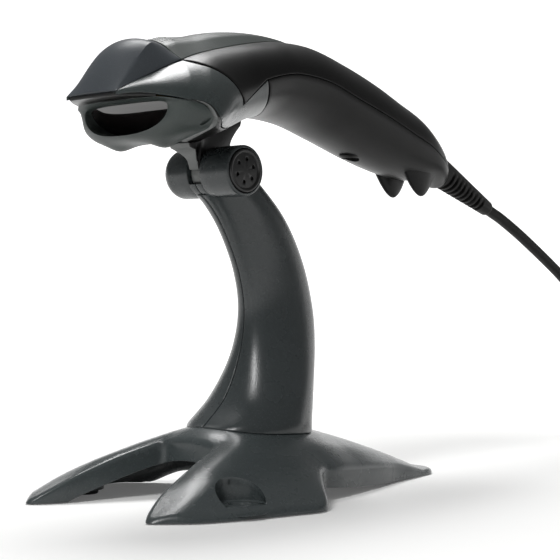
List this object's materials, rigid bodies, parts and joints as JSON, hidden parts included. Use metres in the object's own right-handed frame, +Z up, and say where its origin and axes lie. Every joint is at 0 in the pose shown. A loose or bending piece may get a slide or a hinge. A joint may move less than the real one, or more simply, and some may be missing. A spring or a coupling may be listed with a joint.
{
  "type": "handheld barcode scanner",
  "caption": "Handheld barcode scanner with a hooded nose, curved grip and trigger leaf, docked in the tilting cradle of a footed presentation stand.",
  "frame": {"origin": "middle of the stand and scanner in plan, on the table under the rubber feet", "axes": "+X to the scanner's left, -Y the way the nose looks, +Z up"},
  "size_m": [0.1397, 0.3964, 0.1729],
  "materials": {
    "stand_plastic": "fine satin texture",
    "head_plastic": "fine satin texture",
    "bezel_plastic": "satin",
    "grip_plastic": "soft satin",
    "cradle_plastic": "satin",
    "window_plastic": "polished dark filter",
    "cap_plastic": "satin",
    "black_rubber": "matt",
    "cord_jacket": "satin",
    "steel": "plain",
    "brass": "turned",
    "copper": "enamelled wire",
    "board": "solder mask",
    "black_parts": "moulded",
    "pale_parts": "moulded",
    "mirror": "front silvered"
  },
  "bodies": {
    "stand": {"base_shell": "stand_plastic", "ballast_plate": "steel", "ballast_screws": "steel", "rubber_feet": "black_rubber", "neck_left_shell": "stand_plastic", "neck_right_shell": "stand_plastic", "hinge_screw": "steel", "hinge_insert": "brass", "friction_washers": "steel", "hinge_cap": "cap_plastic", "cord_coil": "cord_jacket", "cord_tie": "black_parts", "plug_body": "cord_jacket", "plug_shell": "steel"},
    "cradle": {"cradle_saddle": "cradle_plastic", "cradle_tongue": "cradle_plastic", "cradle_magnet": "steel"},
    "trigger": {"trigger_button": "head_plastic"},
    "plunger": {"switch_plunger": "pale_parts"},
    "mirror": {"scan_mirror": "mirror"},
    "scanner": {"hood": "head_plastic", "head_housing": "head_plastic", "nose_floor": "bezel_plastic", "nose_bezel": "bezel_plastic", "window": "window_plastic", "grip_upper": "grip_plastic", "grip_lower": "grip_plastic", "case_screw": "steel", "tail_feet": "grip_plastic", "engine_chassis": "black_parts", "laser_module": "brass", "mirror_post": "steel", "mirror_coil": "copper", "photodiode": "black_parts", "switch_board": "board", "trigger_switch": "black_parts", "main_board": "board", "processor": "black_parts", "beeper": "black_parts", "cable_socket": "pale_parts", "trigger_pin": "steel", "strain_relief": "cord_jacket", "cord_lead": "cord_jacket"}
  },
  "joints": [
    {"name": "cradle_tilt", "type": "hinge", "parent": "stand", "child": "cradle", "pos_m": [0, -0.0365, 0.1195], "axis": [1, 0, 0], "range_deg": [-20, 25], "deforming": ["cord_lead"]},
    {"name": "scanner_lift", "type": "slide", "parent": "cradle", "child": "scanner", "axis": [0, -0.7071, 0.7071], "range_m": [0, 0.05], "deforming": ["cord_lead"]},
    {"name": "trigger_press", "type": "hinge", "parent": "scanner", "child": "trigger", "pos_m": [0, -0.0065, 0.165], "axis": [1, 0, 0], "range_deg": [0, 1.5], "stiffness_Nm_per_rad": 4, "springref_deg": -0.57},
    {"name": "plunger_press", "type": "slide", "parent": "scanner", "child": "plunger", "axis": [0, 0, -1], "range_m": [0, 0.0012]},
    {"name": "mirror_swing", "type": "hinge", "parent": "scanner", "child": "mirror", "pos_m": [0, -0.0535, 0.1441], "axis": [0, 0, 1], "range_deg": [-12, 12], "stiffness_Nm_per_rad": 0.0002}
  ],
  "couplings": [
    {"joint": "plunger_press", "follows": "trigger_press", "m_per_rad": 0.0435}
  ]
}
